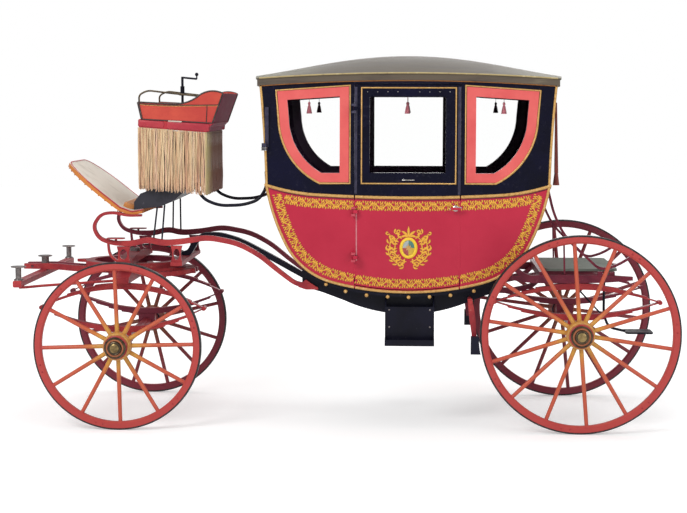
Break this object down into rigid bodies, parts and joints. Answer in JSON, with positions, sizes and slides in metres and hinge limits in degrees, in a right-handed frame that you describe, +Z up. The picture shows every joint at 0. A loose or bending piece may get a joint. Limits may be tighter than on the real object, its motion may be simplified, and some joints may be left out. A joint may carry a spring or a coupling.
{
  "type": "horse-drawn coach",
  "caption": "Closed horse-drawn state coach with spoked wheels, a turning fore carriage, elliptic springs, doors that open and a raised seat at the front.",
  "frame": {"origin": "on the floor, under the middle of the coach's bounding box", "axes": "+Z up, +X towards the rear of the coach, +Y towards the right of someone who faces forward"},
  "size_m": [4.436, 1.6818, 2.465],
  "materials": {
    "navy_panel": "gloss",
    "crimson_panel": "gloss",
    "red_wood": "gloss",
    "red_iron": "gloss",
    "coral_frame": "satin",
    "black_iron": "satin",
    "black_wood": "gloss",
    "iron_tyre": "matte",
    "steel": "satin",
    "brass": "satin",
    "gold_cornice": "satin",
    "roof_leather": "satin",
    "boot_leather": "satin",
    "fringe_fabric": "matte",
    "seat_fabric": "matte",
    "cabin_fabric": "matte",
    "strap_fabric": "matte",
    "canvas_board": "matte",
    "platform_wood": "matte",
    "window_glass": "clear"
  },
  "bodies": {
    "coach": {"body_bottom": "crimson_panel", "body_glass": "window_glass", "brake_crank": "black_iron", "brake_gear": "black_iron", "cabin_benches": "black_wood", "cabin_cushions": "cabin_fabric", "cornice": "gold_cornice", "crane_iron": "black_iron", "door_hinges": "black_iron", "door_sills_and_rails": "black_wood", "footboard": "canvas_board", "footman_straps": "strap_fabric", "front_wall": "navy_panel", "kingpin": "steel", "lamp_sockets": "steel", "lower_quarters": "crimson_panel", "quarter_sashes": "coral_frame", "rear_axle": "red_iron", "rear_frame": "red_iron", "rear_platform": "platform_wood", "rear_springs_lower": "red_iron", "rear_springs_upper": "red_iron", "rear_stays": "red_iron", "rear_step": "black_iron", "rear_wall": "navy_panel", "roof": "roof_leather", "seat_boot": "boot_leather", "seat_box": "red_wood", "seat_cushion": "seat_fabric", "seat_fringe": "fringe_fabric", "seat_irons": "black_iron", "seat_rails": "brass", "side_steps": "black_iron", "swan_neck_left": "red_iron", "swan_neck_right": "red_iron", "turntable_upper": "red_iron", "underbody": "black_wood", "upper_quarters": "navy_panel"},
    "fore_carriage": {"fore_bed": "red_wood", "front_axle": "red_iron", "front_springs_lower": "red_iron", "front_springs_upper": "red_iron", "roller_bolts": "steel", "splinter_bar": "red_iron", "turntable_lower": "red_iron"},
    "wheel_front_left": {"wheel_front_left": "red_wood", "tyre_front_left": "iron_tyre"},
    "wheel_front_right": {"wheel_front_right": "red_wood", "tyre_front_right": "iron_tyre"},
    "wheel_rear_left": {"wheel_rear_left": "red_wood", "tyre_rear_left": "iron_tyre"},
    "wheel_rear_right": {"wheel_rear_right": "red_wood", "tyre_rear_right": "iron_tyre"},
    "door_left": {"door_left_lower": "crimson_panel", "door_left_upper": "navy_panel", "door_left_glass": "window_glass"},
    "door_right": {"door_right_lower": "crimson_panel", "door_right_upper": "navy_panel", "door_right_glass": "window_glass"}
  },
  "joints": [
    {"name": "steering", "type": "hinge", "parent": "coach", "child": "fore_carriage", "pos_m": [-1.454, 0, 1.04], "axis": [0, 0, 1], "range_deg": [-80, 80]},
    {"name": "wheel_front_left_spin", "type": "hinge", "parent": "fore_carriage", "child": "wheel_front_left", "pos_m": [-1.454, -0.725, 0.554], "axis": [0, 1, 0], "continuous": true},
    {"name": "wheel_front_right_spin", "type": "hinge", "parent": "fore_carriage", "child": "wheel_front_right", "pos_m": [-1.454, 0.725, 0.554], "axis": [0, 1, 0], "continuous": true},
    {"name": "wheel_rear_left_spin", "type": "hinge", "parent": "coach", "child": "wheel_rear_left", "pos_m": [1.568, -0.725, 0.65], "axis": [0, 1, 0], "continuous": true},
    {"name": "wheel_rear_right_spin", "type": "hinge", "parent": "coach", "child": "wheel_rear_right", "pos_m": [1.568, 0.725, 0.65], "axis": [0, 1, 0], "continuous": true},
    {"name": "door_left_hinge", "type": "hinge", "parent": "coach", "child": "door_left", "pos_m": [0.097, -0.645, 1.5], "axis": [0, 0, -1], "range_deg": [0, 85]},
    {"name": "door_right_hinge", "type": "hinge", "parent": "coach", "child": "door_right", "pos_m": [0.097, 0.645, 1.5], "axis": [0, 0, 1], "range_deg": [0, 85]}
  ]
}
